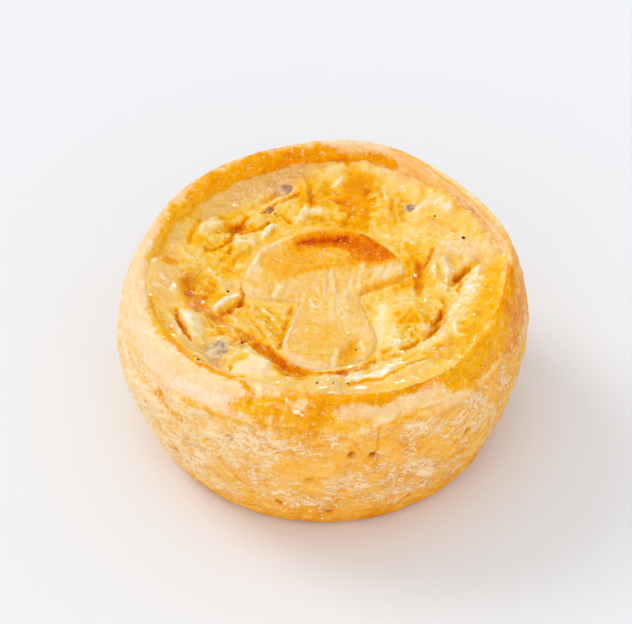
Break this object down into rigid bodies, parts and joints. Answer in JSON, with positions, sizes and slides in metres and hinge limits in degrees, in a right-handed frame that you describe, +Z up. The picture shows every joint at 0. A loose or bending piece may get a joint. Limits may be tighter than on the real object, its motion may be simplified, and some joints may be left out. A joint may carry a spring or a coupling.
{
  "type": "mushroom quiche",
  "caption": "Small deep round quiche: a puffed pastry case filled with lumpy baked custard and mushroom, with a glazed pastry mushroom laid on top.",
  "frame": {"origin": "on the surface that the quiche stands on, under the middle of its base", "axes": "+Z up; -Y towards the front, the side that the foot of the pastry mushroom points to; +X to the right seen from the front"},
  "size_m": [0.1052, 0.1032, 0.0526],
  "materials": {
    "baked_pastry": "golden baked pastry, flaky and mottled, pale on the rim with a browned egg wash inside it",
    "custard": "baked egg custard, lumpy, yellow with cream and orange-brown patches, moist with small highlights",
    "glazed_pastry": "thin pastry under a glossy golden egg glaze, browned in its fold",
    "chanterelle": "cooked grey-brown mushroom, moist"
  },
  "bodies": {
    "root": {"pastry_case": "baked_pastry", "custard": "custard", "pastry_mushroom": "glazed_pastry", "chanterelle_left": "chanterelle", "chanterelle_front_left": "chanterelle", "chanterelle_back_left": "chanterelle", "chanterelle_back_inner": "chanterelle", "chanterelle_back_right": "chanterelle"}
  },
  "joints": []
}
